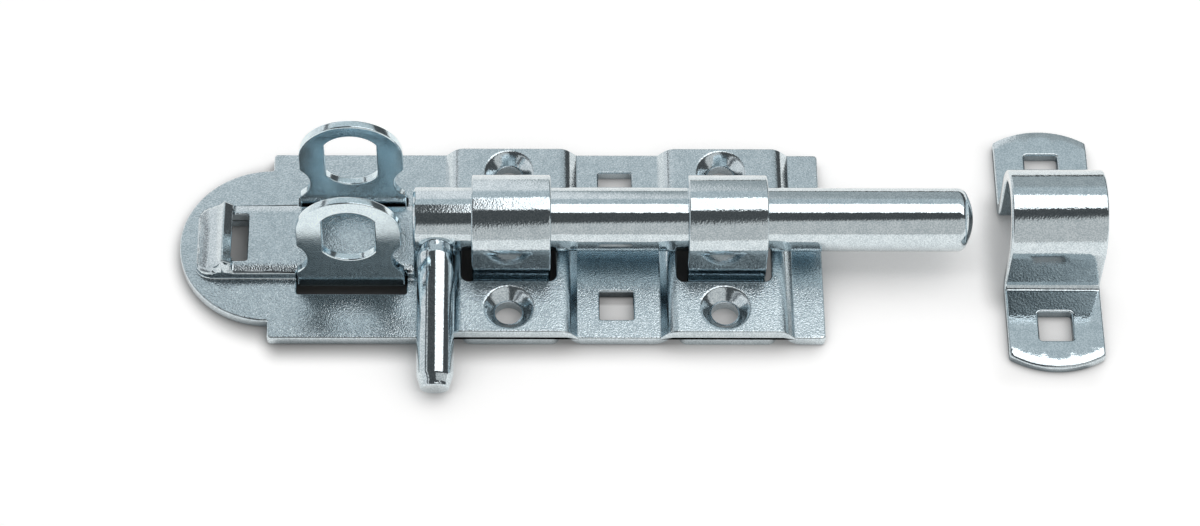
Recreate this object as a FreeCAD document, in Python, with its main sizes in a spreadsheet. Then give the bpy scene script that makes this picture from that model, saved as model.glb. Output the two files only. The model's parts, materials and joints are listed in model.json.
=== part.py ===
"""Padbolt: back plate, two guide straps, padlock bracket, bolt rod, handle and keep, in millimetres.

Shared frame: Z = 0 is the back of the plate and +Z points away from the door. +X runs along the bolt
towards the keep. X = Y = 0 is the middle of the four screw holes.
"""
import math
import os
import re

import FreeCAD, Part
import Sketcher

SIZES = {
    # Back plate, measured from the middle of the screw holes.
    "plate_length": 139.2,
    "plate_width": 56.0,
    "plate_gauge": 3.0,
    "plate_corner": 1.0,
    "shoulder_offset": 87.2,
    "tab_radius": 22.9,
    # Bridges, which cover the feet of the guide straps.
    "bridge_spacing": 54.0,
    "bridge_shift": 0.6,
    "bridge_ramp": 2.8,
    "bend_radius": 4.0,
    "crease_radius": 0.6,
    # Screw holes through bridge and strap, and square holes between the bridges.
    "screw_rows": 41.4,
    "screw_hole": 6.8,
    "screw_head": 12.4,
    "square_hole": 8.4,
    "square_rows": 36.2,
    # Guide straps.
    "strap_gauge": 3.0,
    "strap_bend": 1.5,
    "foot_width": 24.3,
    "foot_corner": 2.0,
    "loop_width": 19.75,
    "window_end_gap": 1.95,
    "window_side_gap": 0.15,
    "window_corner": 2.0,
    # Bolt rod.
    "rod_diameter": 16.0,
    "rod_length": 140.0,
    "rod_offset": 50.9,
    "rod_gap": 0.1,
    "rod_lift": 0.6,
    "rod_chamfer": 0.6,
    "dome_length": 4.0,
    "dome_corner": 2.6,
    # Handle, drooping from the rod until it rests on the plate's front edge.
    "handle_offset": 45.1,
    "handle_diameter": 9.4,
    "handle_length": 44.9,
    "handle_neck": 8.2,
    "neck_length": 2.5,
    "tip_diameter": 7.4,
    "tip_taper": 3.5,
    "tip_round": 0.5,
    "saddle_gap": 0.03,
    "rest_gap": 0.05,
    # Padlock bracket and the ridge that covers its web.
    "bracket_gauge": 2.2,
    "bracket_offset": 66.4,
    "bracket_bend": 0.3,
    "lug_gap": 20.7,
    "lug_base": 26.8,
    "lug_head": 26.0,
    "lug_height": 38.2,
    "notch_corner": 1.2,
    "eye_corner": 0.8,
    "notch_radius": 7.4,
    "notch_height": 13.95,
    "neck_width": 21.2,
    "eye_width": 12.95,
    "eye_length": 20.3,
    "eye_height": 23.8,
    "eye_radius": 7.4,
    "slot_end_gap": 0.35,
    "slot_side_gap": 2.2,
    "slot_inner_gap": 0.5,
    "ridge_width": 20.8,
    "ridge_flat": 15.2,
    "ridge_rise": 3.3,
    "ridge_crown": 0.7,
    "ridge_end": 50.4,
    # Lanced stop at the end of the ridge: a tongue that curls up to a cut lip over a slot.
    "stop_offset": 98.9,
    "stop_length": 6.6,
    "stop_rise": 3.4,
    "stop_ramp": 10.8,
    "stop_lean": 55.0,
    "stop_wall": 1.5,
    "stop_side": 1.4,
    "stop_crown": 0.4,
    "stop_pinch": 2.6,
    "stop_slot": 6.1,
    "stop_slot_length": 13.8,
    # Keep.
    "keep_offset": 109.4,
    "keep_width": 24.0,
    "keep_length": 72.1,
    "keep_bow": 3.6,
    "keep_rows": 48.0,
    "keep_gap": 1.3,
    "keep_lift": 0.6,
    "keep_roll": 2.6,
    "keep_drop": 0.5,
}

# Sizes that follow from the ones above.
ROD_HEIGHT = "(plate_gauge + strap_gauge + rod_lift + rod_diameter / 2)"
BRIDGE_TOP = "(plate_gauge + strap_gauge)"
RAMP_ANGLE = "atan(strap_gauge / bridge_ramp)"
BRIDGE_KNEE = f"(foot_width / 2 + bend_radius * tan({RAMP_ANGLE} / 2))"
LOOP_INNER = "(rod_diameter / 2 + rod_gap)"
LOOP_OUTER = f"({LOOP_INNER} + strap_gauge)"
RIDGE_TOP = "(plate_gauge + ridge_rise)"
RIDGE_WALL = "(ridge_rise - ridge_crown)"
LIP_TOP = f"({RIDGE_TOP} + stop_rise)"
RAMP_X = "(-stop_offset - stop_ramp * sin(stop_lean * 1 deg))"
RAMP_Z = f"({LIP_TOP} + stop_ramp * cos(stop_lean * 1 deg))"
LIP_X = "(plate_gauge * sin(stop_lean * 1 deg) - stop_offset)"
LIP_Z = f"({LIP_TOP} - plate_gauge * cos(stop_lean * 1 deg))"
EDGE_REACH = f"sqrt(({ROD_HEIGHT} - plate_gauge) ^ 2 + (plate_width / 2) ^ 2)"
HANDLE_DROOP = (
    f"(atan(({ROD_HEIGHT} - plate_gauge) / (plate_width / 2))"
    f" - asin((handle_diameter / 2 + rest_gap) / {EDGE_REACH}))"
)

document = FreeCAD.newDocument("padbolt")
sheet = document.addObject("Spreadsheet::Sheet", "sizes")
for row, (size_name, size_value) in enumerate(SIZES.items(), start=1):
    sheet.set(f"A{row}", size_name)
    sheet.set(f"B{row}", str(size_value))
    sheet.setAlias(f"B{row}", size_name)
document.recompute()

SIZE_WORDS = re.compile(r"\b(" + "|".join(SIZES) + r")\b")


def bound(text):
    """Puts the sheet's name before every size in an expression."""
    return SIZE_WORDS.sub(r"sizes.\1", text)


def value(text):
    """Returns an expression's present value as a plain number."""
    result = sheet.evalExpression(bound(text))
    return float(getattr(result, "Value", result))


def new_body(name):
    """Adds an empty body whose label names its file."""
    body = document.addObject("PartDesign::Body", name)
    body.Label = name
    return body


def new_sketch(body, name, plane, shift=None):
    """Adds a sketch on one of the body's own planes, moved along that plane's normal by an expression."""
    sketch = body.newObject("Sketcher::SketchObject", name)
    support = next(item for item in body.Origin.OriginFeatures if item.Role == plane)
    sketch.AttachmentSupport = [(support, "")]
    sketch.MapMode = "FlatFace"
    if shift:
        sketch.setExpression("AttachmentOffset.Base.z", bound(shift))
    return sketch


def drive(sketch, kind, place, text):
    """Adds one dimension and binds it to an expression."""
    index = sketch.addConstraint(Sketcher.Constraint(kind, *place, value(text)))
    sketch.setExpression(f"Constraints[{index}]", bound(text))


def pin(sketch, geometry, point, x, y):
    """Holds a sketch point at two coordinates given as expressions."""
    for kind, axis, text in (("DistanceX", -2, x), ("DistanceY", -1, y)):
        if text == "0":
            sketch.addConstraint(Sketcher.Constraint("PointOnObject", geometry, point, axis))
        else:
            drive(sketch, kind, (-1, 1, geometry, point), text)


def arc_between(start, end, radius, turn):
    """Returns the shorter arc from start to end, turning left (1) or right (-1)."""
    chord = end - start
    height = math.sqrt(max(radius ** 2 - (chord.Length / 2) ** 2, 0.0))
    side = FreeCAD.Vector(-chord.y, chord.x, 0).normalize()
    centre = (start + end) * 0.5 + side * height * turn
    first, last = (start, end) if turn > 0 else (end, start)
    angles = [math.atan2(p.y - centre.y, p.x - centre.x) for p in (first, last)]
    if angles[1] < angles[0]:
        angles[1] += 2 * math.pi
    return Part.ArcOfCircle(Part.Circle(centre, FreeCAD.Vector(0, 0, 1), radius), *angles)


def outline(sketch, corners):
    """Adds a closed outline.

    Each corner is (x, y) when a line leaves it, or (x, y, radius, turn) when an arc leaves it.
    """
    points = [FreeCAD.Vector(value(corner[0]), value(corner[1]), 0) for corner in corners]
    pieces = []
    for index, corner in enumerate(corners):
        start, end = points[index], points[(index + 1) % len(points)]
        if len(corner) == 2:
            pieces.append((sketch.addGeometry(Part.LineSegment(start, end)), 1, 2))
            continue
        arc = sketch.addGeometry(arc_between(start, end, value(corner[2]), corner[3]))
        pieces.append((arc, 1, 2) if corner[3] > 0 else (arc, 2, 1))
    for index, (geometry, start, end) in enumerate(pieces):
        following, first, _ = pieces[(index + 1) % len(pieces)]
        sketch.addConstraint(Sketcher.Constraint("Coincident", geometry, end, following, first))
        corner = corners[index]
        pin(sketch, geometry, start, corner[0], corner[1])
        if len(corner) > 2:
            drive(sketch, "Radius", (geometry,), corner[2])


def rectangle(sketch, left, right, bottom, top, corner=None):
    """Adds a rectangle between four expressions, with rounded corners when a radius is given."""
    if corner is None:
        outline(sketch, [(left, bottom), (right, bottom), (right, top), (left, top)])
        return
    outline(sketch, [
        (f"{left} + {corner}", bottom),
        (f"{right} - {corner}", bottom, corner, 1),
        (right, f"{bottom} + {corner}"),
        (right, f"{top} - {corner}", corner, 1),
        (f"{right} - {corner}", top),
        (f"{left} + {corner}", top, corner, 1),
        (left, f"{top} - {corner}"),
        (left, f"{bottom} + {corner}", corner, 1),
    ])


def circle(sketch, x, y, diameter):
    """Adds a circle from expressions."""
    centre = FreeCAD.Vector(value(x), value(y), 0)
    shape = Part.Circle(centre, FreeCAD.Vector(0, 0, 1), value(diameter) / 2)
    geometry = sketch.addGeometry(shape)
    pin(sketch, geometry, 3, x, y)
    drive(sketch, "Diameter", (geometry,), diameter)


def extrude(body, kind, name, sketch, length, both_ways=True):
    """Pads or pockets a sketch by an expression, to both sides of its plane or along its normal."""
    feature = body.newObject(f"PartDesign::{kind}", name)
    feature.Profile = sketch
    feature.setExpression("Length", bound(length))
    if both_ways:
        feature.SideType = "Symmetric"
    sketch.Visibility = False
    return feature


def chosen_edges(body, chosen):
    """Returns the body's present solid with the names of its edges whose middle point passes the test."""
    document.recompute()
    names = []
    for index, edge in enumerate(body.Tip.Shape.Edges, start=1):
        middle = edge.valueAt((edge.FirstParameter + edge.LastParameter) / 2)
        if chosen(middle, edge):
            names.append(f"Edge{index}")
    return body.Tip, names


def soften(body, name, radius, chosen):
    """Rounds the chosen edges of the body's present solid."""
    base = chosen_edges(body, chosen)
    fillet = body.newObject("PartDesign::Fillet", name)
    fillet.Base = base
    fillet.setExpression("Radius", bound(radius))


def roll_over(body, name, across, down, chosen):
    """Slopes the chosen edges off, further across their top face than down their side."""
    base = chosen_edges(body, chosen)
    chamfer = body.newObject("PartDesign::Chamfer", name)
    chamfer.Base = base
    chamfer.ChamferType = "Two distances"
    chamfer.setExpression("Size", bound(across))
    chamfer.setExpression("Size2", bound(down))


def near(first, second):
    """Tells whether two lengths agree to a hundredth of a millimetre."""
    return abs(first - second) < 0.01


def bridge_profile(sketch, side, floor, root, knee_bend, foot_bend):
    """Adds a bridge's rounded step to a sketch: feet at the floor level, closed at the root level."""
    middle = f"(bridge_shift + {side} * bridge_spacing / 2)"
    top = f"{floor} + strap_gauge"
    foot = f"({BRIDGE_KNEE} + bridge_ramp)"
    knee_reach, foot_reach = (f"({bend} * tan({RAMP_ANGLE} / 2))" for bend in (knee_bend, foot_bend))
    knee_across, foot_across = (f"{reach} * cos({RAMP_ANGLE})" for reach in (knee_reach, foot_reach))
    knee_down, foot_up = (f"{reach} * sin({RAMP_ANGLE})" for reach in (knee_reach, foot_reach))
    outline(sketch, [
        (f"{middle} - {foot} - {foot_reach}", root),
        (f"{middle} - {foot} - {foot_reach}", floor, foot_bend, 1),
        (f"{middle} - {foot} + {foot_across}", f"{floor} + {foot_up}"),
        (f"{middle} - {BRIDGE_KNEE} - {knee_across}", f"{top} - {knee_down}", knee_bend, -1),
        (f"{middle} - {BRIDGE_KNEE} + {knee_reach}", top),
        (f"{middle} + {BRIDGE_KNEE} - {knee_reach}", top, knee_bend, -1),
        (f"{middle} + {BRIDGE_KNEE} + {knee_across}", f"{top} - {knee_down}"),
        (f"{middle} + {foot} - {foot_across}", f"{floor} + {foot_up}", foot_bend, 1),
        (f"{middle} + {foot} + {foot_reach}", floor),
        (f"{middle} + {foot} + {foot_reach}", root),
    ])


def stop_section(body, name, x, pinch, wall, top):
    """Adds one cross-section of the stop, square to the bolt: leaning sides under a slightly crowned top."""
    sketch = new_sketch(body, name, "YZ_Plane", x)
    base = f"(ridge_width / 2 - {pinch})"
    shoulder = f"({base} - stop_side)"
    side_top = f"plate_gauge + {wall}"
    outline(sketch, [
        (f"-{base}", "plate_gauge / 2"),
        (base, "plate_gauge / 2"),
        (base, side_top),
        (shoulder, f"{top} - stop_crown", f"({shoulder} ^ 2 + stop_crown ^ 2) / (2 * stop_crown)", 1),
        (f"-{shoulder}", f"{top} - stop_crown"),
        (f"-{base}", side_top),
    ])
    return sketch


def build_plate():
    """Builds the back plate."""
    body = new_body("back_plate")
    right = "(plate_length - shoulder_offset)"
    half = "plate_width / 2"
    blank = new_sketch(body, "plate_blank", "XY_Plane")
    outline(blank, [
        ("plate_corner - shoulder_offset", f"-{half}"),
        (f"{right} - plate_corner", f"-{half}", "plate_corner", 1),
        (right, f"plate_corner - {half}"),
        (right, f"{half} - plate_corner", "plate_corner", 1),
        (f"{right} - plate_corner", half),
        ("plate_corner - shoulder_offset", half, "plate_corner", 1),
        ("-shoulder_offset", f"{half} - plate_corner"),
        ("-shoulder_offset", "tab_radius", "tab_radius", 1),
        ("-shoulder_offset - tab_radius", "0", "tab_radius", 1),
        ("-shoulder_offset", "-tab_radius"),
        ("-shoulder_offset", f"plate_corner - {half}", "plate_corner", 1),
    ])
    extrude(body, "Pad", "plate_sheet", blank, "plate_gauge", both_ways=False)
    for side, word in (("-1", "left"), ("1", "right")):
        step = new_sketch(body, f"bridge_{word}_step", "XZ_Plane")
        bridge_profile(step, side, "plate_gauge", "plate_gauge / 2", "bend_radius", "crease_radius")
        extrude(body, "Pad", f"bridge_{word}", step, "plate_width")
    for side, word in (("-1", "left"), ("1", "right")):
        hollow = new_sketch(body, f"bridge_{word}_hollow", "XZ_Plane")
        bridge_profile(hollow, side, "0", "-plate_gauge / 2", "crease_radius", "bend_radius")
        extrude(body, "Pocket", f"bridge_{word}_underside", hollow, "plate_width + plate_gauge")
    build_ridge(body)
    build_stop(body)
    hollow_ridge(body)
    cut_plate(body)
    return body


def build_ridge(body):
    """Presses the ridge that covers the padlock bracket's web into the plate."""
    profile = new_sketch(body, "ridge_profile", "YZ_Plane", "-stop_offset")
    half = "ridge_width / 2"
    fall = "((ridge_width - ridge_flat) / 2)"
    roll = f"({fall} ^ 2 + ridge_crown ^ 2) / (2 * ridge_crown)"
    outline(profile, [
        (f"-{half}", "plate_gauge / 2"),
        (half, "plate_gauge / 2"),
        (half, f"plate_gauge + {RIDGE_WALL}", roll, 1),
        ("ridge_flat / 2", RIDGE_TOP),
        ("-ridge_flat / 2", RIDGE_TOP, roll, 1),
        (f"-{half}", f"plate_gauge + {RIDGE_WALL}"),
    ])
    extrude(body, "Pad", "ridge", profile, "stop_offset - ridge_end", both_ways=False)


def build_stop(body):
    """Raises the stop at the ridge's far end: a tongue that curls up to the sheet's own cut edge."""
    tongue = []
    for word, share, pinch in (("toe", "1", "stop_pinch"), ("heel", "0.75", "stop_pinch / 4"),
                               ("rise", "0.4", "0"), ("lip", "0", "0")):
        x = f"(-stop_offset - {share} * stop_length)"
        wall = f"({RIDGE_WALL} + {share} * (stop_wall - {RIDGE_WALL}))"
        top = f"({RAMP_Z} - sqrt(stop_ramp ^ 2 - ({x} - {RAMP_X}) ^ 2))"
        tongue.append(stop_section(body, f"stop_{word}", x, pinch, wall, top))
    edge = [
        stop_section(body, "stop_edge_outer", "-stop_offset", "0", RIDGE_WALL, LIP_TOP),
        stop_section(body, "stop_edge_inner", LIP_X, "0", RIDGE_WALL, LIP_Z),
    ]
    for name, (first, *others) in (("stop_tongue", tongue), ("stop_edge", edge)):
        loft = body.newObject("PartDesign::AdditiveLoft", name)
        loft.Profile = first
        loft.Sections = others


def hollow_ridge(body):
    """Hollows the ridge and the stop from behind, seats the bracket's web and cuts the slot under the lip."""
    cave_end = f"({RAMP_X} + sqrt((stop_ramp + plate_gauge) ^ 2 - ({RAMP_Z} - ridge_rise) ^ 2))"
    hollow = new_sketch(body, "ridge_hollow", "XY_Plane")
    rectangle(hollow, cave_end, "-ridge_end - plate_gauge", "plate_gauge - ridge_width / 2",
              "ridge_width / 2 - plate_gauge")
    seat = new_sketch(body, "web_seat", "XY_Plane")
    span = "(lug_base / 2 + slot_end_gap)"
    rectangle(seat, f"-bracket_offset - {span}", f"{span} - bracket_offset", "-lug_gap / 2", "lug_gap / 2")
    for name, sketch in (("ridge_underside", hollow), ("web_seat_cut", seat)):
        pocket = extrude(body, "Pocket", name, sketch, "ridge_rise", both_ways=False)
        pocket.Reversed = True
    opening = new_sketch(body, "stop_opening", "XZ_Plane")
    slot_end = "(stop_slot - stop_offset)"
    outline(opening, [
        (LIP_X, LIP_Z, "stop_ramp + plate_gauge", -1),
        (cave_end, "ridge_rise"),
        (cave_end, "0"),
        (slot_end, "0"),
        (slot_end, LIP_TOP),
        (LIP_X, LIP_TOP),
    ])
    extrude(body, "Pocket", "stop_opening_cut", opening, "stop_slot_length")


def cut_plate(body):
    """Cuts the windows, slots and holes through the plate."""
    depth = f"4 * {BRIDGE_TOP}"
    windows = new_sketch(body, "windows", "XY_Plane")
    reach = f"({LOOP_OUTER} + strap_bend + window_side_gap)"
    for side in ("-1", "1"):
        middle = f"{side} * bridge_spacing / 2"
        span = "(loop_width / 2 + window_end_gap)"
        rectangle(windows, f"{middle} - {span}", f"{middle} + {span}", f"-{reach}", reach, "window_corner")
    extrude(body, "Pocket", "window_cut", windows, depth)
    slots = new_sketch(body, "slots", "XY_Plane")
    inner = "(lug_gap / 2 - slot_inner_gap)"
    outer = "(lug_gap / 2 + bracket_gauge + slot_side_gap)"
    span = "(lug_base / 2 + slot_end_gap)"
    ends = (f"-bracket_offset - {span}", f"{span} - bracket_offset")
    rectangle(slots, *ends, f"-{outer}", f"-{inner}")
    rectangle(slots, *ends, inner, outer)
    extrude(body, "Pocket", "slot_cut", slots, depth)
    squares = new_sketch(body, "square_holes", "XY_Plane")
    for side in ("-1", "1"):
        middle = f"{side} * square_rows / 2"
        rectangle(squares, "-square_hole / 2", "square_hole / 2", f"{middle} - square_hole / 2",
                  f"{middle} + square_hole / 2")
    extrude(body, "Pocket", "square_cut", squares, depth)
    screws = new_sketch(body, "screw_holes", "XY_Plane", BRIDGE_TOP)
    for side in ("-1", "1"):
        for row_side in ("-1", "1"):
            circle(screws, f"{side} * bridge_spacing / 2", f"{row_side} * screw_rows / 2", "screw_hole")
    document.recompute()
    hole = body.newObject("PartDesign::Hole", "screw_cut")
    hole.Profile = screws
    hole.setExpression("Diameter", bound("screw_hole"))
    hole.HoleCutType = "Countersink"
    hole.HoleCutCustomValues = True
    hole.setExpression("HoleCutDiameter", bound("screw_head"))
    hole.HoleCutCountersinkAngle = 90
    hole.DepthType = "ThroughAll"
    screws.Visibility = False


def loop_profile(sketch, inner, height, reach):
    """Adds a hoop's cross-section: an arch on straight legs with a bent foot each side."""
    outer = f"({inner} + strap_gauge)"
    bend = f"({outer} + strap_bend)"
    sole = "(strap_gauge + strap_bend)"
    outline(sketch, [
        (f"-{reach}", "0"),
        (f"-{bend}", "0", sole, 1),
        (f"-{inner}", sole),
        (f"-{inner}", height, inner, -1),
        ("0", f"{height} + {inner}", inner, -1),
        (inner, height),
        (inner, sole, sole, 1),
        (bend, "0"),
        (reach, "0"),
        (reach, "strap_gauge"),
        (bend, "strap_gauge", "strap_bend", -1),
        (outer, sole),
        (outer, height, outer, 1),
        ("0", f"{height} + {outer}", outer, 1),
        (f"-{outer}", height),
        (f"-{outer}", sole, "strap_bend", -1),
        (f"-{bend}", "strap_gauge"),
        (f"-{reach}", "strap_gauge"),
    ])


def build_strap(name, side):
    """Builds one guide strap, centred on its own bridge."""
    body = new_body(name)
    hoop = new_sketch(body, f"{name}_hoop", "YZ_Plane")
    loop_profile(hoop, LOOP_INNER, ROD_HEIGHT, "plate_width / 2")
    extrude(body, "Pad", f"{name}_sheet", hoop, "foot_width")
    waist = new_sketch(body, f"{name}_waist", "XY_Plane")
    reach = f"({LOOP_OUTER} + strap_bend)"
    rectangle(waist, "-foot_width", "-loop_width / 2", f"-{reach}", reach)
    rectangle(waist, "loop_width / 2", "foot_width", f"-{reach}", reach)
    extrude(body, "Pocket", f"{name}_waist_cut", waist, f"4 * {ROD_HEIGHT}")
    screws = new_sketch(body, f"{name}_screws", "XY_Plane")
    for row_side in ("-1", "1"):
        circle(screws, "-bridge_shift", f"{row_side} * screw_rows / 2", "screw_hole")
    extrude(body, "Pocket", f"{name}_screw_cut", screws, "4 * strap_gauge")
    foot_x, foot_y = value("foot_width / 2"), value("plate_width / 2")
    soften(body, f"{name}_corners", "foot_corner",
           lambda p, edge: near(abs(p.x), foot_x) and near(abs(p.y), foot_y) and edge.BoundBox.ZLength > 0.1)
    body.setExpression("Placement.Base.x", bound(f"bridge_shift + {side} * bridge_spacing / 2"))
    return body


def build_bracket():
    """Builds the U-shaped padlock bracket with its two pierced lugs."""
    body = new_body("padlock_bracket")
    lug = new_sketch(body, "lug_outline", "XZ_Plane")
    notch_x = "(neck_width / 2 + notch_radius)"
    base_z = f"(notch_height - sqrt(notch_radius ^ 2 - ({notch_x} - lug_base / 2) ^ 2))"
    head_z = f"(notch_height + sqrt(notch_radius ^ 2 - ({notch_x} - lug_head / 2) ^ 2))"
    crown = "(lug_height - lug_head / 2)"
    outline(lug, [
        ("-lug_base / 2", "0"),
        ("lug_base / 2", "0"),
        ("lug_base / 2", base_z, "notch_radius", -1),
        ("lug_head / 2", head_z),
        ("lug_head / 2", crown, "lug_head / 2", 1),
        ("0", "lug_height", "lug_head / 2", 1),
        ("-lug_head / 2", crown),
        ("-lug_head / 2", head_z, "notch_radius", -1),
        ("-lug_base / 2", base_z),
    ])
    shoulder = "(eye_length / 2 - eye_radius + sqrt(eye_radius ^ 2 - (eye_width / 2) ^ 2))"
    outline(lug, [
        ("eye_width / 2", f"eye_height - {shoulder}"),
        ("eye_width / 2", f"eye_height + {shoulder}", "eye_radius", 1),
        ("-eye_width / 2", f"eye_height + {shoulder}"),
        ("-eye_width / 2", f"eye_height - {shoulder}", "eye_radius", 1),
    ])
    extrude(body, "Pad", "lug_block", lug, "lug_gap + 2 * bracket_gauge")
    gap = new_sketch(body, "lug_gap_outline", "YZ_Plane")
    inside = "lug_gap / 2"
    outline(gap, [
        (f"bracket_bend - {inside}", "bracket_gauge"),
        (f"{inside} - bracket_bend", "bracket_gauge", "bracket_bend", 1),
        (inside, "bracket_gauge + bracket_bend"),
        (inside, "2 * lug_height"),
        (f"-{inside}", "2 * lug_height"),
        (f"-{inside}", "bracket_gauge + bracket_bend", "bracket_bend", 1),
    ])
    extrude(body, "Pocket", "lug_gap_cut", gap, "2 * lug_base")
    outside = value("lug_gap / 2 + bracket_gauge")
    soften(body, "bracket_bends", "bracket_gauge + bracket_bend",
           lambda p, edge: near(abs(p.y), outside) and near(p.z, 0))
    notch_corners = [(value("lug_base / 2"), value(base_z)), (value("lug_head / 2"), value(head_z))]
    soften(body, "notch_corners", "notch_corner",
           lambda p, edge: any(near(abs(p.x), x) and near(p.z, z) for x, z in notch_corners))
    eye_corners = [(value("eye_width / 2"), value(f"eye_height {sign} {shoulder}")) for sign in "+-"]
    soften(body, "eye_corners", "eye_corner",
           lambda p, edge: any(near(abs(p.x), x) and near(p.z, z) for x, z in eye_corners))
    body.setExpression("Placement.Base.x", bound("-bracket_offset"))
    body.setExpression("Placement.Base.z", bound("ridge_rise - bracket_gauge"))
    return body


def build_rod():
    """Builds the bolt rod, with its tail at the body's origin."""
    body = new_body("bolt_rod")
    half = new_sketch(body, "rod_half", "XY_Plane")
    radius = "rod_diameter / 2"
    crown = ("((dome_length ^ 2 + (rod_diameter / 2 - dome_corner) ^ 2 - dome_corner ^ 2)"
             " / (2 * (dome_length - dome_corner)))")
    lean = f"((rod_diameter / 2 - dome_corner) / ({crown} - dome_corner))"
    meet_x = f"(rod_length - dome_length + dome_corner * sqrt(1 - {lean} ^ 2))"
    meet_y = f"({crown} * {lean})"
    outline(half, [
        ("0", "0"),
        ("rod_length", "0", crown, 1),
        (meet_x, meet_y, "dome_corner", 1),
        ("rod_length - dome_length", radius),
        ("rod_chamfer", radius),
        ("0", f"{radius} - rod_chamfer"),
    ])
    bar = body.newObject("PartDesign::Revolution", "rod_bar")
    bar.Profile = half
    bar.ReferenceAxis = (half, ["H_Axis"])
    bar.Angle = 360
    body.setExpression("Placement.Base.x", bound("-rod_offset"))
    body.setExpression("Placement.Base.z", bound(ROD_HEIGHT))
    return body


def build_handle():
    """Builds the handle along the body's -Y axis, saddled on the rod and drooped onto the plate's edge."""
    body = new_body("bolt_handle")
    half = new_sketch(body, "handle_half", "XY_Plane")
    root = "rod_diameter / 4"
    collar = "(rod_diameter / 2 + neck_length)"
    outline(half, [
        ("0", f"-{root}"),
        ("0", "-handle_length"),
        ("tip_diameter / 2 - tip_round", "-handle_length", "tip_round", 1),
        ("tip_diameter / 2", "tip_round - handle_length"),
        ("handle_diameter / 2", "tip_taper - handle_length"),
        ("handle_diameter / 2", f"-{collar}"),
        ("handle_neck / 2", "-rod_diameter / 2"),
        ("handle_neck / 2", f"-{root}"),
    ])
    pin_bar = body.newObject("PartDesign::Revolution", "handle_bar")
    pin_bar.Profile = half
    pin_bar.ReferenceAxis = (half, ["V_Axis"])
    pin_bar.Angle = 360
    saddle = new_sketch(body, "saddle", "YZ_Plane")
    circle(saddle, "0", "0", "rod_diameter + 2 * saddle_gap")
    extrude(body, "Pocket", "saddle_cut", saddle, "2 * handle_diameter")
    body.Placement = FreeCAD.Placement(FreeCAD.Vector(), FreeCAD.Rotation(FreeCAD.Vector(1, 0, 0), 10))
    body.setExpression("Placement.Base.x", bound("-handle_offset"))
    body.setExpression("Placement.Base.z", bound(ROD_HEIGHT))
    body.setExpression("Placement.Rotation.Angle", bound(HANDLE_DROOP))
    return body


def build_keep():
    """Builds the loose keep that receives the bolt."""
    body = new_body("keep")
    hoop = new_sketch(body, "keep_hoop", "YZ_Plane")
    reach = "(keep_length + keep_bow) / 2"
    loop_profile(hoop, "(rod_diameter / 2 + keep_gap)", f"({ROD_HEIGHT} + keep_lift)", reach)
    extrude(body, "Pad", "keep_sheet", hoop, "keep_width")
    ends = new_sketch(body, "keep_ends", "XY_Plane")
    half = "(keep_width / 2)"
    bow = f"({half} ^ 2 + keep_bow ^ 2) / (2 * keep_bow)"
    tip = "(keep_length / 2)"
    outline(ends, [
        (f"-{half}", f"{tip} - keep_bow"),
        (f"-{half}", f"{tip} + keep_bow"),
        (half, f"{tip} + keep_bow"),
        (half, f"{tip} - keep_bow", bow, 1),
    ])
    outline(ends, [
        (half, f"keep_bow - {tip}"),
        (half, f"-{tip} - keep_bow"),
        (f"-{half}", f"-{tip} - keep_bow"),
        (f"-{half}", f"keep_bow - {tip}", bow, 1),
    ])
    extrude(body, "Pocket", "keep_end_cut", ends, "4 * strap_gauge")
    squares = new_sketch(body, "keep_squares", "XY_Plane")
    for side in ("-1", "1"):
        middle = f"{side} * keep_rows / 2"
        rectangle(squares, "-square_hole / 2", "square_hole / 2", f"{middle} - square_hole / 2",
                  f"{middle} + square_hole / 2")
    extrude(body, "Pocket", "keep_square_cut", squares, "4 * strap_gauge")
    end_y, top_z = value(tip), value("strap_gauge")
    roll_over(body, "keep_rolled_ends", "keep_roll", "keep_drop",
              lambda p, edge: near(abs(p.y), end_y) and near(p.z, top_z))
    body.setExpression("Placement.Base.x", bound("keep_offset"))
    return body


def check(parts):
    """Stops the build when any object failed or any part is not one valid solid."""
    for item in document.Objects:
        if "Invalid" in item.State or "Error" in item.State:
            raise RuntimeError(f"{item.Name} failed: {item.State}")
    for part in parts:
        shape = part.Shape
        if shape.isNull() or not shape.isValid() or len(shape.Solids) != 1:
            raise RuntimeError(f"{part.Label} is not one valid solid")


def main():
    """Builds every part and writes one STEP file for each."""
    parts = [
        build_plate(),
        build_strap("guide_strap_left", "-1"),
        build_strap("guide_strap_right", "1"),
        build_bracket(),
        build_rod(),
        build_handle(),
        build_keep(),
    ]
    document.recompute()
    check(parts)
    os.makedirs("parts", exist_ok=True)
    for part in parts:
        part.Shape.exportStep(f"parts/{part.Label}.step")
        box = part.Shape.BoundBox
        print(f"{part.Label}: {part.Shape.Volume:.1f} mm3, "
              f"x {box.XMin:.2f} to {box.XMax:.2f}, y {box.YMin:.2f} to {box.YMax:.2f}, "
              f"z {box.ZMin:.2f} to {box.ZMax:.2f}")


main()
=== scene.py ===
"""Zinc-plated padbolt with its loose keep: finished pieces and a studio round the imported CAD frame."""

from __future__ import annotations

import json
import logging
import math
from dataclasses import dataclass
from enum import Enum
from typing import Any, Optional, Union

import bpy
from mathutils import Euler, Matrix, Vector

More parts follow.
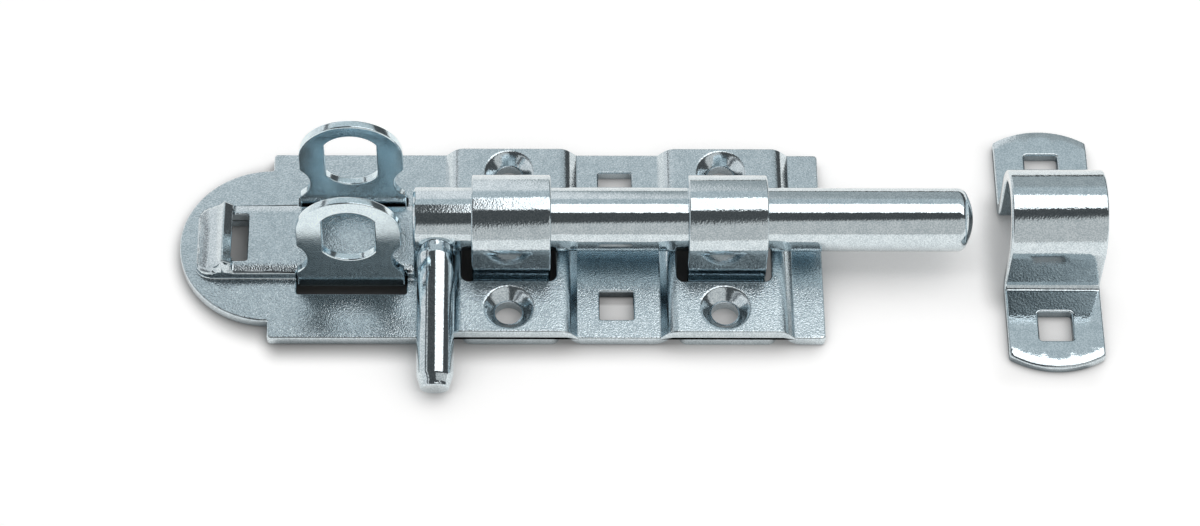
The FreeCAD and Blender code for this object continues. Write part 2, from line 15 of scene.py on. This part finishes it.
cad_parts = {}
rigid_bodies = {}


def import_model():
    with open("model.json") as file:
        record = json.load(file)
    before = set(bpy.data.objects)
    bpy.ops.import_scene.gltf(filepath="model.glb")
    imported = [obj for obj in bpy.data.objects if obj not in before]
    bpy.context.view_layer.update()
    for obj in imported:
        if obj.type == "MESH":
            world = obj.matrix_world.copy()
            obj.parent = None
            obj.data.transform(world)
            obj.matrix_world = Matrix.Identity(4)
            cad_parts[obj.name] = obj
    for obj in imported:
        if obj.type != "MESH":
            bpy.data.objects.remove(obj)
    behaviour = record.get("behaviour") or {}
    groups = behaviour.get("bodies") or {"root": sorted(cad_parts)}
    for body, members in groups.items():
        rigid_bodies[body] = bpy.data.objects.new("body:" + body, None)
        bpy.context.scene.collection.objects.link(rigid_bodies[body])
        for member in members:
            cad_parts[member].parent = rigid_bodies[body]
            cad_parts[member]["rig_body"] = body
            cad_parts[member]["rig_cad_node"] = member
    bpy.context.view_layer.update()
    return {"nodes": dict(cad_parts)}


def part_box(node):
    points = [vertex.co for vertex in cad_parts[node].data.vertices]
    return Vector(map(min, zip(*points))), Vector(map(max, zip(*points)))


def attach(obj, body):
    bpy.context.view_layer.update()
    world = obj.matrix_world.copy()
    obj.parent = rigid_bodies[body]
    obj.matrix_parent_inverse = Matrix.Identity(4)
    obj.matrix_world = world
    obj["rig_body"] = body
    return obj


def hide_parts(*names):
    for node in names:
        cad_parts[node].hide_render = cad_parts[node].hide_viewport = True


LOG = logging.getLogger("padbolt")
MM = 0.001

Colour = tuple[float, float, float]
Span = tuple[float, float]
Nodes = dict[str, bpy.types.Object]
Term = Union["Value", float]

BLACK: Colour = (0.0, 0.0, 0.0)
WHITE: Colour = (1.0, 1.0, 1.0)


class Value:
    """A node socket that takes part in Python arithmetic, each operation adding one Math node."""

    def __init__(self, graph: Graph, socket: bpy.types.NodeSocket) -> None:
        """Wraps an output socket of the graph."""
        self.graph = graph
        self.socket = socket

    def _math(self, operation: str, first: Term, second: Term) -> Value:
        """Adds a Math node on two terms and gives its result."""
        return self.graph.node("ShaderNodeMath", {"operation": operation}, {0: first, 1: second})[0]

    def __add__(self, other: Term) -> Value:
        """self + other."""
        return self._math("ADD", self, other)

    def __radd__(self, other: Term) -> Value:
        """other + self."""
        return self._math("ADD", other, self)

    def __sub__(self, other: Term) -> Value:
        """self - other."""
        return self._math("SUBTRACT", self, other)

    def __rsub__(self, other: Term) -> Value:
        """other - self."""
        return self._math("SUBTRACT", other, self)

    def __mul__(self, other: Term) -> Value:
        """self * other."""
        return self._math("MULTIPLY", self, other)

    def __rmul__(self, other: Term) -> Value:
        """other * self."""
        return self._math("MULTIPLY", other, self)

    def __pow__(self, other: Term) -> Value:
        """self to the power of other."""
        return self._math("POWER", self, other)

    def __rpow__(self, other: Term) -> Value:
        """other to the power of self."""
        return self._math("POWER", other, self)

    def __abs__(self) -> Value:
        """self without its sign."""
        return self._math("ABSOLUTE", self, 0.0)

    def at_least(self, other: Term) -> Value:
        """The larger of self and other."""
        return self._math("MAXIMUM", self, other)

    def at_most(self, other: Term) -> Value:
        """The smaller of self and other."""
        return self._math("MINIMUM", self, other)

    def angle(self, other: Term) -> Value:
        """The angle of the point (other, self), in radians."""
        return self._math("ARCTAN2", self, other)


class Graph:
    """A node tree that is filled through one method."""

    openness_samples: int = 16

    def __init__(self, tree: bpy.types.NodeTree) -> None:
        """Empties the tree and keeps it."""
        tree.nodes.clear()
        self.tree = tree

    def node(
        self,
        kind: str,
        settings: Optional[dict[str, Any]] = None,
        inputs: Optional[dict[Union[int, str], Any]] = None,
    ) -> dict[Union[int, str], Value]:
        """Adds a node, sets it up and wires it.

        Args:
            kind: the node's type name.
            settings: properties to set first.
            inputs: a number, colour, vector or Value for each named or numbered socket.

        Returns:
            The node's outputs, each by its number and by its name.
        """
        node = self.tree.nodes.new(kind)
        for name, setting in (settings or {}).items():
            setattr(node, name, setting)
        for key, value in (inputs or {}).items():
            socket = node.inputs[key]
            if isinstance(value, Value):
                self.tree.links.new(value.socket, socket)
            elif socket.type == "RGBA" and len(value) == 3:
                socket.default_value = (*value, 1.0)
            else:
                socket.default_value = value
        outputs: dict[Union[int, str], Value] = {}
        for index, output in enumerate(node.outputs):
            outputs[index] = outputs[output.name] = Value(self, output)
        return outputs

    def mix(self, share: Term, low: Any, high: Any) -> Value:
        """Blends two colours, from the low one at a share of 0 to the high one at 1."""
        # The Mix node has a set of sockets for each type of data. These numbers are its colour set.
        return self.node("ShaderNodeMix", {"data_type": "RGBA"}, {0: share, 6: low, 7: high})[2]

    def band(
        self, value: Value, low: float, high: float, start: Term = 0.0, end: Term = 1.0
    ) -> Value:
        """Maps one range of a value smoothly onto another.

        Args:
            value: the value to map.
            low: the value that gives start.
            high: the value that gives end.
            start: the result at and before low.
            end: the result at and after high.

        Returns:
            The mapped value.
        """
        settings = {"interpolation_type": "SMOOTHSTEP"}
        inputs = {0: value, 1: low, 2: high, 3: start, 4: end}
        return self.node("ShaderNodeMapRange", settings, inputs)[0]

    def noise(
        self, place: Value, size_mm: float, detail: float = 2.0, roughness: float = 0.5
    ) -> Value:
        """Adds cloudy noise.

        Args:
            place: the coordinates it follows, in metres.
            size_mm: the size of its features.
            detail: how many finer layers it has.
            roughness: how strong the finer layers are.

        Returns:
            Noise of about 0 to 1.
        """
        inputs = {
            "Vector": place,
            "Scale": 1.0 / (size_mm * MM),
            "Detail": detail,
            "Roughness": roughness,
        }
        return self.node("ShaderNodeTexNoise", inputs=inputs)[0]

    def axes(self, vector: Value) -> tuple[Value, Value, Value]:
        """The X, Y and Z of a vector."""
        parts = self.node("ShaderNodeSeparateXYZ", inputs={"Vector": vector})
        return parts["X"], parts["Y"], parts["Z"]

    def openness(self, reach: float) -> Value:
        """How free a place is of surfaces within reach, from 0 in a crevice to 1 in the open."""
        settings = {"samples": self.openness_samples}
        return self.node("ShaderNodeAmbientOcclusion", settings, {"Distance": reach})["AO"]

    def surface(self, inputs: dict[str, Any]) -> None:
        """Ends the tree in a Principled shader with these sockets."""
        shader = self.node("ShaderNodeBsdfPrincipled", inputs=inputs)[0]
        self.node("ShaderNodeOutputMaterial", inputs={"Surface": shader})


def new_material(name: str) -> tuple[bpy.types.Material, Graph]:
    """Starts a node material.

    Args:
        name: the material's name.

    Returns:
        The material and its empty graph.
    """
    material = bpy.data.materials.new(name)
    material.use_nodes = True
    return material, Graph(material.node_tree)


class Stroke(Enum):
    """Which way a finish's faint tool marks run: the scale of the pattern along X, Y and Z."""

    NONE = None
    ALONG_BAR = (0.04, 1.0, 1.0)
    ACROSS_LUG = (1.0, 0.05, 0.05)


@dataclass(frozen=True)
class ZincFinish:
    """Bright zinc plating on steel, with the grain of the pickled sheet under it.

    Sizes are in millimetres. The mottle runs from the clear to the cloudy colour, and both turn to the
    painted crevice shade colour where neighbours close the surface in. The steep share is how much of
    the grain's depth is left on walls and slopes. The bow is how far the sheet falls away from its
    middle line, in metres for each square metre of Y.
    """

    name: str
    clear: Colour = (0.70, 0.80, 0.85)
    cloudy: Colour = (0.49, 0.585, 0.635)
    mottle_edges: Span = (0.34, 0.66)
    roughness: float = 0.13
    rough_swing: float = 0.06
    rough_edges: Span = (0.3, 0.7)
    grain_mm: float = 0.36
    grain_detail: float = 1.5
    grain_depth_mm: float = 0.05
    steep_share: float = 1.0
    steep_edges: Span = (0.8, 0.97)
    speck_mm: float = 0.36
    speck_detail: float = 1.0
    cloud_mm: float = 2.6
    cloud_detail: float = 3.0
    cloud_roughness: float = 0.6
    cloud_share: float = 0.3
    stroke: Stroke = Stroke.NONE
    stroke_mm: float = 0.5
    stroke_depth_mm: float = 0.002
    bow: float = 0.0
    # Painted shade: the colour the plating turns to in crevices, with its reach and its openness range.
    crevice: Colour = (0.28, 0.34, 0.38)
    crevice_mm: float = 4.0
    crevice_open: Span = (0.1, 0.6)

    def material(self) -> bpy.types.Material:
        """Builds the finish's node material.

        Returns:
            The new material.
        """
        made, graph = new_material(self.name)
        coordinates = graph.node("ShaderNodeTexCoord")
        place = coordinates["Object"]
        clouds = graph.noise(place, self.cloud_mm, self.cloud_detail, self.cloud_roughness)
        half_swing = self.rough_swing / 2.0
        swing = (self.roughness - half_swing, self.roughness + half_swing)
        height = self._height(graph, place, coordinates["Normal"])
        bump = {"Strength": 1.0, "Distance": 1.0, "Height": height}
        graph.surface(
            {
                "Base Color": self._colour(graph, place, clouds),
                "Metallic": 1.0,
                "Roughness": graph.band(clouds, *self.rough_edges, *swing),
                "Normal": graph.node("ShaderNodeBump", inputs=bump)[0],
            }
        )
        return made

    def _colour(self, graph: Graph, place: Value, clouds: Value) -> Value:
        """Mottles the plating and paints shade into its crevices.

        Args:
            graph: the material's node tree.
            place: the coordinates that the pattern follows.
            clouds: the coarse part of the mottle.

        Returns:
            The plating's colour, with the painted crevice shade.
        """
        specks = graph.noise(place, self.speck_mm, self.speck_detail)
        mottle = specks * (1.0 - self.cloud_share) + clouds * self.cloud_share
        plating = graph.mix(graph.band(mottle, *self.mottle_edges), self.clear, self.cloudy)
        # Painted shade: the plating darkens where nearby surfaces close it in.
        openness = graph.openness(self.crevice_mm * MM)
        return graph.mix(graph.band(openness, *self.crevice_open), self.crevice, plating)

    def _height(self, graph: Graph, place: Value, normal: Value) -> Value:
        """Adds up the grain, the tool marks and the bow of the sheet.

        Args:
            graph: the material's node tree.
            place: the coordinates that the pattern follows.
            normal: which way the surface faces.

        Returns:
            The height of the surface, in metres.
        """
        depth = self.grain_depth_mm * MM
        level = abs(graph.axes(normal)[2])
        grain = graph.band(level, *self.steep_edges, self.steep_share * depth, depth)
        height = graph.noise(place, self.grain_mm, self.grain_detail) * grain
        if self.stroke is not Stroke.NONE:
            stretch = {"Vector": place, "Scale": self.stroke.value}
            marks = graph.noise(graph.node("ShaderNodeMapping", inputs=stretch)[0], self.stroke_mm)
            height = height + marks * (self.stroke_depth_mm * MM)
        if self.bow:
            height = height - graph.axes(place)[1] ** 2.0 * self.bow
        return height


@dataclass
class FinishedPiece:
    """A CAD node's finished stand-in: a merged copy with its sharp edges rounded over, plated.

    Sizes are in millimetres and angles in degrees.
    """

    node: str
    body: str
    slot: str
    finish: ZincFinish
    edge_mm: float
    edge_steps: int = 3
    sharp_angle: float = 30.0
    smooth_angle: float = 42.0
    flat_angle: float = 0.4
    flat_weight: int = 100
    weld_mm: float = 0.002

    def build(self, nodes: Nodes) -> bpy.types.Object:
        """Makes the piece and seats it on its body.

        Args:
            nodes: the frame's CAD objects by name.

        Returns:
            The finished piece.
        """
        piece = self._copy(nodes[self.node])
        self._merge()
        self._round_edges(piece)
        self._dress(piece)
        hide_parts(self.node)
        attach(piece, self.body)
        return piece

    def _copy(self, source: bpy.types.Object) -> bpy.types.Object:
        """Copies a CAD object, with a mesh of its own, free of its body.

        Args:
            source: the CAD object.

        Returns:
            The copy, active and alone in the selection.
        """
        bpy.ops.object.select_all(action="DESELECT")
        source.select_set(True)
        bpy.context.view_layer.objects.active = source
        bpy.ops.object.duplicate()
        piece = bpy.context.view_layer.objects.active
        piece.parent = None
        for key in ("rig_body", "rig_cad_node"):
            del piece[key]
        piece.name = f"plated_{self.node}"
        piece.data.name = piece.name
        return piece

    def _merge(self) -> None:
        """Joins the active copy's loose triangles and lays those of its flat faces out afresh."""
        bpy.ops.object.mode_set(mode="EDIT")
        bpy.ops.mesh.select_all(action="SELECT")
        bpy.ops.mesh.remove_doubles(threshold=self.weld_mm * MM)
        bpy.ops.mesh.dissolve_limited(angle_limit=math.radians(self.flat_angle))
        bpy.ops.mesh.quads_convert_to_tris(quad_method="BEAUTY", ngon_method="BEAUTY")
        bpy.ops.object.mode_set(mode="OBJECT")

    def _round_edges(self, piece: bpy.types.Object) -> None:
        """Rounds the sharp edges over and smooths the shading between them.

        Args:
            piece: the merged copy, active and selected.
        """
        rounding = piece.modifiers.new("edge_break", "BEVEL")
        rounding.width = self.edge_mm * MM
        rounding.segments = self.edge_steps
        rounding.limit_method = "ANGLE"
        rounding.angle_limit = math.radians(self.sharp_angle)
        rounding.use_clamp_overlap = False
        rounding.loop_slide = False
        rounding.miter_outer = "MITER_ARC"
        bpy.ops.object.modifier_apply(modifier=rounding.name)
        bpy.ops.object.shade_smooth_by_angle(angle=math.radians(self.smooth_angle))
        flats = piece.modifiers.new("true_flats", "WEIGHTED_NORMAL")
        flats.mode = "FACE_AREA"
        flats.weight = self.flat_weight
        flats.keep_sharp = True
        bpy.ops.object.modifier_apply(modifier=flats.name)

    def _dress(self, piece: bpy.types.Object) -> None:
        """Gives the piece its finish in place of the CAD materials."""
        piece.data.materials.clear()
        piece.data.materials.append(self.finish.material())


@dataclass
class MountingPlate:
    """The back plate with the straps and bracket that are fixed to it. Edges are in millimetres."""

    body: str = "plate"
    sheet_edge: float = 0.45
    bracket_edge: float = 0.4
    sheet: ZincFinish = ZincFinish("zinc_sheet", grain_depth_mm=0.075, bow=0.6, steep_share=0.2)
    strap: ZincFinish = ZincFinish(
        "zinc_strap",
        roughness=0.08,
        grain_mm=0.5,
        grain_depth_mm=0.02,
        crevice=(0.55, 0.66, 0.7),
    )
    lug: ZincFinish = ZincFinish(
        "zinc_lug",
        clear=(0.755, 0.89, 0.95),
        cloudy=(0.60, 0.73, 0.79),
        grain_depth_mm=0.012,
        stroke=Stroke.ACROSS_LUG,
        crevice=(0.24, 0.32, 0.33),
    )

    def build(self, nodes: Nodes) -> list[bpy.types.Object]:
        """Builds the plate, both guide straps and the padlock bracket.

        Args:
            nodes: the frame's CAD objects by name.

        Returns:
            The finished pieces.
        """
        pieces = (
            ("back_plate", "plate_zinc", self.sheet, self.sheet_edge),
            ("guide_strap_left", "strap_zinc", self.strap, self.sheet_edge),
            ("guide_strap_right", "strap_zinc", self.strap, self.sheet_edge),
            ("padlock_bracket", "bracket_zinc", self.lug, self.bracket_edge),
        )
        return [
            FinishedPiece(node, self.body, slot, finish, edge).build(nodes)
            for node, slot, finish, edge in pieces
        ]


@dataclass
class Bolt:
    """The sliding bar and the handle that turns on it. Edges are in millimetres."""

    bar_body: str = "bar"
    handle_body: str = "handle"
    bar_edge: float = 0.25
    handle_edge: float = 0.2
    drawn: ZincFinish = ZincFinish(
        "zinc_bar",
        roughness=0.06,
        rough_swing=0.03,
        grain_mm=0.5,
        grain_depth_mm=0.01,
        stroke=Stroke.ALONG_BAR,
    )
    turned: ZincFinish = ZincFinish(
        "zinc_handle", roughness=0.07, rough_swing=0.03, grain_depth_mm=0.012
    )

    def build(self, nodes: Nodes) -> list[bpy.types.Object]:
        """Builds the bar and its handle.

        Args:
            nodes: the frame's CAD objects by name.

        Returns:
            The finished pieces.
        """
        bar = FinishedPiece("bolt_rod", self.bar_body, "rod_zinc", self.drawn, self.bar_edge)
        handle = FinishedPiece(
            "bolt_handle", self.handle_body, "handle_zinc", self.turned, self.handle_edge
        )
        return [bar.build(nodes), handle.build(nodes)]


@dataclass
class Keep:
    """The loose hooped keep that takes the bar's tip. Its edge is in millimetres."""

    body: str = "plate"
    edge: float = 0.6
    finish: ZincFinish = ZincFinish(
        "zinc_keep",
        roughness=0.07,
        rough_swing=0.03,
        grain_mm=0.5,
        grain_depth_mm=0.02,
        crevice=(0.4, 0.47, 0.51),
    )

    def build(self, nodes: Nodes) -> list[bpy.types.Object]:
        """Builds the keep from the frame's CAD objects."""
        return [FinishedPiece("keep", self.body, "keep_zinc", self.finish, self.edge).build(nodes)]


@dataclass(frozen=True)
class Footprint:
    """A patch of floor with painted shade, also used to place painted light, grown by a radius, in
    metres.

    The depth says how much of the floor's lift the patch takes away at its left and at its right end.
    """

    low: Span
    high: Span
    fade: float
    depth: Span
    radius: float = 0.0

    def clear(self, graph: Graph, across: Value, along: Value) -> Value:
        """How far a place on the floor is clear of the patch.

        Args:
            graph: the node tree of the floor's material.
            across: the place's X.
            along: the place's Y.

        Returns:
            1 less the depth on the patch, rising to 1 once the fade is passed.
        """
        gaps = [
            (abs(place - (low + high) / 2.0) - (high - low) / 2.0).at_least(0.0)
            for place, low, high in zip((across, along), self.low, self.high)
        ]
        distance = (gaps[0] ** 2.0 + gaps[1] ** 2.0) ** 0.5
        left, right = (1.0 - depth for depth in self.depth)
        least = graph.band(across, self.low[0], self.high[0], left, right)
        return graph.band(distance, self.radius, self.radius + self.fade, least, 1.0)


@dataclass
class Floor:
    """The matt white floor, with painted shade and painted light round the object.

    Lengths are in metres. The lift brings the floor up to white for the camera and for reflections,
    and a depth is how much of it a patch of painted shade takes away at its left and at its right end.
    """

    half: float = 6.0
    drop: float = 0.0001
    colour: Colour = (0.566, 0.575, 0.576)
    lift: float = 0.70
    mirror_tint: Colour = (1.07, 1.0, 0.95)
    # Painted shade: the floor's colour under the plate's pierced middle, seen only through its openings.
    under_colour: Colour = (0.2, 0.2, 0.2)
    # Painted shade: patches near the object take away some of the floor's lift.
    shade_inset: float = 0.005
    shade_fade: float = 0.007
    mirror_fade: float = 0.003
    sharp_fade: float = 0.001
    full_depth: Span = (1.0, 1.0)
    plate_depth: Span = (0.94, 0.34)
    tip_radius: float = 0.0229
    tip_shift: Span = (0.0035, -0.001)
    tip_depth: Span = (0.86, 0.86)
    core_half: float = 0.0155
    keep_depth: Span = (0.16, 0.16)
    hoop_half: float = 0.013
    hoop_depth: Span = (0.48, 0.48)
    rod_half: float = 0.004
    rod_fade: float = 0.005
    rod_depth: Span = (0.12, 0.12)
    # Painted shade: the floor's lift fades where nearby surfaces close the floor in.
    contact_reach: float = 0.02
    contact_open: Span = (0.3, 0.98)
    contact_depth: float = 0.7
    # Painted light: strips of floor under the plate's holes keep this much of the lift.
    hole_half: float = 0.034
    hole_rows: Span = (0.0143, 0.0245)
    hole_lift: Span = (0.72, 0.72)

    def build(self) -> None:
        """Lays the floor just under the object and dresses it."""
        bpy.ops.mesh.primitive_plane_add(size=2.0 * self.half, location=(0.0, 0.0, -self.drop))
        floor = bpy.context.object
        floor.name = "floor"
        floor.data.materials.append(self._material())

    def _material(self) -> bpy.types.Material:
        """Builds the floor's material: matt, and lifted for what sees it straight or by reflection.

        Returns:
            The new material.
        """
        made, graph = new_material("floor_white")
        across, along, _ = graph.axes(graph.node("ShaderNodeTexCoord")["Object"])
        rays = graph.node("ShaderNodeLightPath")
        straight = rays["Is Camera Ray"]
        # Painted shade: under the plate's pierced middle the floor loses its lift and turns dark.
        core = self._core().clear(graph, across, along)
        seen = straight * core
        mirrored = (rays["Is Glossy Ray"] + rays["Is Transmission Ray"]) * core
        # Painted shade: patches near the object take away the lift, for the camera and, more narrowly,
        # for reflections.
        for patch in self._shades(self.shade_fade, self.keep_depth):
            seen = seen * patch.clear(graph, across, along)
        for patch in self._shades(self.mirror_fade, self.full_depth):
            mirrored = mirrored * patch.clear(graph, across, along)
        # Painted light: under the plate's holes the lift comes back.
        for patch in self._hole_light():
            seen = seen.at_least((1.0 - patch.clear(graph, across, along)) * straight)
        # Painted contact shade: the lift fades where nearby surfaces close the floor in.
        openness = graph.openness(self.contact_reach)
        contact = graph.band(openness, *self.contact_open, 1.0 - self.contact_depth, 1.0)
        level = (seen + mirrored) * contact * self.lift
        tint = graph.mix(straight, self.mirror_tint, WHITE)
        graph.surface(
            {
                # Painted shade: dark floor colour under the plate's pierced middle.
                "Base Color": graph.mix(core, self.under_colour, self.colour),
                "Roughness": 1.0,
                "Specular IOR Level": 0.0,
                "Emission Color": graph.mix(level, BLACK, tint),
                "Emission Strength": 1.0,
            }
        )
        return made

    def _tip(self) -> Span:
        """The middle of the painted shade under the plate's round end."""
        low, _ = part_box("back_plate")
        return low[0] + self.tip_radius + self.tip_shift[0], self.tip_shift[1]

    def _core(self) -> Footprint:
        """Finds the patch of painted shade under the plate's pierced middle, dark up to its edge.

        Returns:
            The patch.
        """
        _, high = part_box("back_plate")
        half = self.core_half
        start, end = (self._tip()[0], -half), (high[0] - half, half)
        return Footprint(start, end, self.sharp_fade, self.full_depth)

    def _shades(self, fade: float, keep_depth: Span) -> list[Footprint]:
        """Finds the patches of painted shade on the floor, which lie to the object's front and left.

        Args:
            fade: how far the painted shade of the plate and the keep reaches.
            keep_depth: how deep the painted shade round the keep is.

        Returns:
            A patch each for the plate, its round end, the keep, the keep's hoop and the bar.
        """
        tip = self._tip()
        low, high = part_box("back_plate")
        keep_low, keep_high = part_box("keep")
        rod_low, rod_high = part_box("bolt_rod")
        inset, hoop, rod = self.shade_inset, self.hoop_half, self.rod_half
        keep_left, keep_right = keep_low[0], keep_high[0] - inset
        plate_end, keep_end = (high[0] - inset, high[1] - inset), (keep_right, keep_high[1] - inset)
        return [
            Footprint((tip[0], low[1]), plate_end, fade, self.plate_depth),
            Footprint(tip, tip, fade, self.tip_depth, self.tip_radius),
            Footprint((keep_left, keep_low[1]), keep_end, fade, keep_depth),
            Footprint((keep_left, -hoop), (keep_right, hoop), fade, self.hoop_depth),
            Footprint((rod_low[0], -rod), (rod_high[0], rod), self.rod_fade, self.rod_depth),
        ]

    def _hole_light(self) -> list[Footprint]:
        """Finds the strips of painted light on the floor under the plate's holes.

        Returns:
            The strip in front of the bar and the one behind it.
        """
        (near, far), half = self.hole_rows, self.hole_half
        return [
            Footprint((-half, low), (half, high), self.sharp_fade, self.hole_lift)
            for low, high in ((-far, -near), (near, far))
        ]


@dataclass
class Softbox:
    """The light that hangs over the bar, facing down.

    The height is in metres. The lean of its back and front edges and the side of its left and right
    edges are angles from the vertical in degrees, towards the camera or to the right being positive.
    """

    height: float = 0.8
    lean: Span = (-22.0, 10.0)
    side: Span = (-3.5, 48.0)
    level: float = 1.8
    colour: Colour = (1.0, 0.946, 0.923)

    def build(self) -> None:
        """Hangs the softbox with its edges at the set angles."""
        back, front = (-self.height * math.tan(math.radians(lean)) for lean in self.lean)
        left, right = (self.height * math.tan(math.radians(side)) for side in self.side)
        place = ((left + right) / 2.0, (back + front) / 2.0, self.height)
        bpy.ops.object.light_add(type="AREA", location=place)
        light = bpy.context.object
        light.name = "softbox"
        light.data.color = self.colour
        light.data.shape = "RECTANGLE"
        light.data.size = right - left
        light.data.size_y = back - front
        light.data.energy = self.level * math.pi * light.data.size * light.data.size_y
        light.visible_camera = False


@dataclass
class Room:
    """What stands round the table and shows in the zinc.

    A lean or a side is an angle from the vertical in degrees, towards the camera or to the right being
    positive. Each pair gives the angles at which a colour starts and is full.
    """

    dark: Colour = (0.09, 0.092, 0.093)
    back: Colour = (0.592, 0.63, 0.644)
    back_lean: Span = (-18.0, -24.0)
    back_side: Span = (56.0, 50.0)
    low_left: Colour = (0.972, 0.94, 0.927)
    low_right: Colour = (0.444, 0.465, 0.468)
    low_lean: Span = (-40.0, -50.0)
    low_side: Span = (1.0, 9.0)
    front: Colour = (0.676, 0.65, 0.63)
    front_lean: Span = (45.0, 55.0)
    front_slant: float = 1.75
    slant_reach: float = 12.0
    left: Colour = (0.888, 0.86, 0.849)
    left_side: Span = (-40.0, -48.0)
    far_left: Colour = (0.127, 0.13, 0.137)
    far_side: Span = (-48.0, -51.0)
    far_end: Span = (-61.0, -57.0)

    def build(self) -> None:
        """Sets the room round the table.

        It is grey-blue behind, pale in front and on the left, and dark overhead and far to the left.
        """
        world = bpy.data.worlds.new("room")
        bpy.context.scene.world = world
        world.use_nodes = True
        graph = Graph(world.node_tree)
        across, along, up = graph.axes(graph.node("ShaderNodeTexCoord")["Generated"])
        lean, side = (0.0 - along).angle(up), across.angle(up)
        low = graph.mix(self._edge(graph, side, self.low_side), self.low_left, self.low_right)
        behind = graph.mix(self._edge(graph, lean, self.low_lean), self.back, low)
        share = self._edge(graph, lean, self.back_lean) * self._edge(graph, side, self.back_side)
        colour = graph.mix(share, self.dark, behind)
        reach = math.radians(self.slant_reach)
        slanted = lean + side.at_least(-reach).at_most(reach) * self.front_slant
        colour = graph.mix(self._edge(graph, slanted, self.front_lean), colour, self.front)
        colour = graph.mix(self._edge(graph, side, self.left_side), colour, self.left)
        strip = self._edge(graph, side, self.far_side) * self._edge(graph, side, self.far_end)
        colour = graph.mix(strip, colour, self.far_left)
        light = graph.node("ShaderNodeBackground", inputs={"Color": colour, "Strength": 1.0})[0]
        graph.node("ShaderNodeOutputWorld", inputs={"Surface": light})

    @staticmethod
    def _edge(graph: Graph, angle: Value, edge: Span) -> Value:
        """0 before an edge of the room, given in degrees, and 1 past it."""
        return graph.band(angle, math.radians(edge[0]), math.radians(edge[1]))


@dataclass
class PhotoCamera:
    """The camera where the photograph was taken from.

    Lengths are in metres, angles in degrees, and the focal length and the middle of the lens in pixels
    of the image.
    """

    aim: tuple[float, float, float] = (-0.024583, -0.003463, 0.0)
    distance: float = 0.96225
    elevation: float = 56.201
    roll: float = 0.114
    focal_px: float = 3805.6
    centre_px: float = 518.27
    image_px: float = 1200.0
    sensor_mm: float = 36.0

    def build(self) -> None:
        """Sets the camera and makes it the scene's own."""
        tilt = math.radians(90.0 - self.elevation)
        back = Vector((0.0, -math.sin(tilt), math.cos(tilt)))
        roll = Matrix.Rotation(math.radians(self.roll), 3, "Z")
        turn = (Euler((tilt, 0.0, 0.0)).to_matrix() @ roll).to_euler()
        place = Vector(self.aim) + back * self.distance
        bpy.ops.object.camera_add(location=place, rotation=turn)
        camera = bpy.context.object
        camera.name = "camera"
        camera.data.sensor_width = self.sensor_mm
        camera.data.lens = self.focal_px / self.image_px * self.sensor_mm
        camera.data.shift_x = 0.5 - self.centre_px / self.image_px
        bpy.context.scene.camera = camera


def main() -> None:
    """Builds the padbolt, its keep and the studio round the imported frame."""
    logging.basicConfig(level=logging.INFO, format="%(name)s: %(message)s")
    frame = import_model()
    bpy.ops.object.select_all(action="DESELECT")
    for assembly in (MountingPlate(), Bolt(), Keep()):
        for piece in assembly.build(frame["nodes"]):
            LOG.info("%s: %d faces", piece.name, len(piece.data.polygons))
    for studio_part in (Floor(), Softbox(), Room(), PhotoCamera()):
        studio_part.build()
    bpy.context.scene.view_settings.view_transform = "Standard"


if __name__ == "__main__":
    main()
